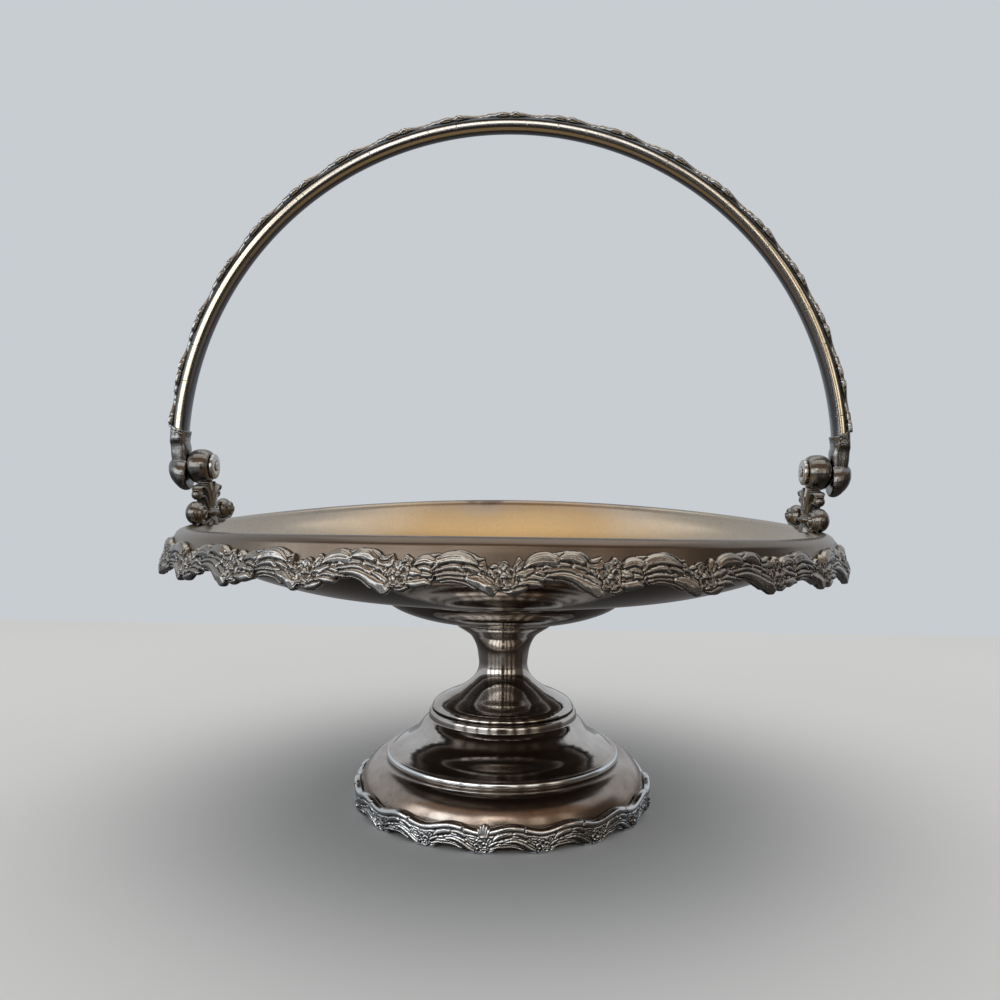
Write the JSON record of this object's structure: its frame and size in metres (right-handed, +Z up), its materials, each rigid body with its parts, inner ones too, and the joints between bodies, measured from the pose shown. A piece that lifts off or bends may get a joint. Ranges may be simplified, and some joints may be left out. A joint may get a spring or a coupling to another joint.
{
  "type": "brides basket",
  "caption": "Silver-plated pedestal basket: shallow round bowl with a cast leaf border, waisted stem, stepped foot and a swing handle on cast lugs.",
  "frame": {"origin": "centre of the foot, on the surface that it stands on", "axes": "+Z up the stem, +X through the right lug along the handle's pivot axis, -Y towards the front as pictured"},
  "size_m": [0.264, 0.2548, 0.2643],
  "materials": {
    "bowl_silver": "worn silver plate, soft satin with a warm tarnish",
    "foot_silver": "polished silver plate, darkened in the hollows",
    "cast_silver": "cast silver plate, dark in the recesses and bright on the edges",
    "handle_silver": "polished silver plate with a warm tarnish",
    "pin_silver": "silver plated rivet"
  },
  "bodies": {
    "basket": {"foot": "foot_silver", "stem": "foot_silver", "support_cup": "foot_silver", "bowl": "bowl_silver", "rim_border": "cast_silver", "foot_border": "cast_silver", "foot_shell": "cast_silver", "lug_right": "cast_silver", "lug_left": "cast_silver", "pivot_pin_right": "pin_silver", "pivot_pin_left": "pin_silver", "pivot_washer_right": "pin_silver", "pivot_washer_left": "pin_silver"},
    "handle": {"handle_bow": "handle_silver", "handle_strip": "cast_silver", "handle_end_right": "handle_silver", "handle_end_left": "handle_silver"}
  },
  "joints": [
    {"name": "handle_swing", "type": "hinge", "parent": "basket", "child": "handle", "pos_m": [0, 0, 0.12878], "axis": [1, 0, 0], "range_deg": [-96, 96]}
  ]
}
